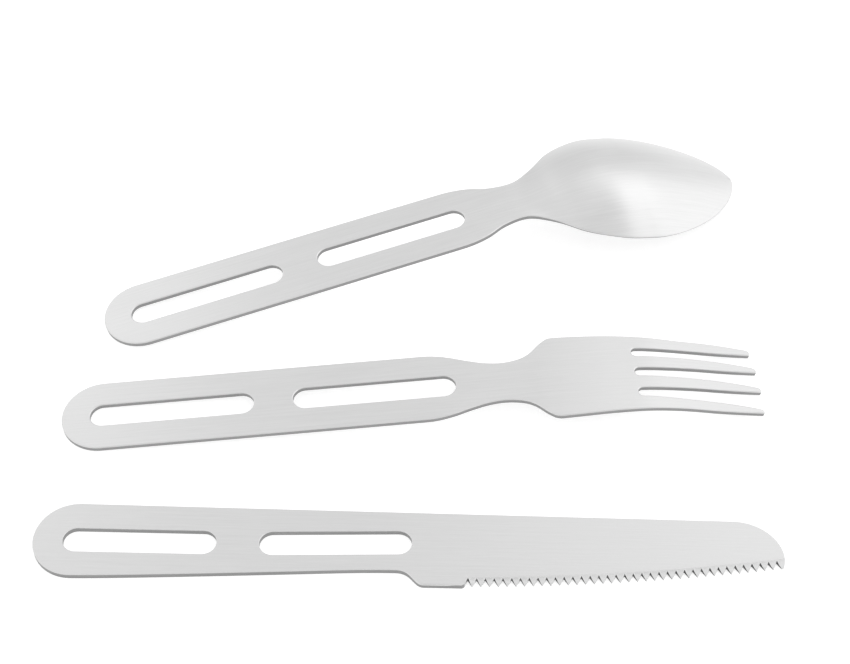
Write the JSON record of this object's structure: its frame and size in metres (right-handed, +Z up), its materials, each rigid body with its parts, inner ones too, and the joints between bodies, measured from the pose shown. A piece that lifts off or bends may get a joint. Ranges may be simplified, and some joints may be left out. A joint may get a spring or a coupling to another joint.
{
  "type": "picnic cutlery",
  "caption": "Flat stamped steel travel cutlery: a serrated knife, a fork and a spoon with long slots in their handles, laid out side by side on a table.",
  "frame": {"origin": "middle of the layout of the three pieces, on the table that they lie on", "axes": "+X from the handles towards the tips, +Y from the knife towards the spoon, +Z up from the table"},
  "size_m": [0.2018, 0.1638, 0.0195],
  "materials": {
    "knife_steel": "satin, brushed along the length",
    "fork_steel": "satin, brushed along the length",
    "spoon_steel": "satin, brushed along the length"
  },
  "bodies": {
    "knife": {"knife": "knife_steel"},
    "fork": {"fork": "fork_steel"},
    "spoon": {"spoon": "spoon_steel"}
  },
  "joints": [
    {"name": "fork_lift", "type": "slide", "parent": "knife", "child": "fork", "axis": [0, 0, 1], "range_m": [0, 0.12]},
    {"name": "spoon_lift", "type": "slide", "parent": "knife", "child": "spoon", "axis": [0, 0, 1], "range_m": [0, 0.12]}
  ]
}
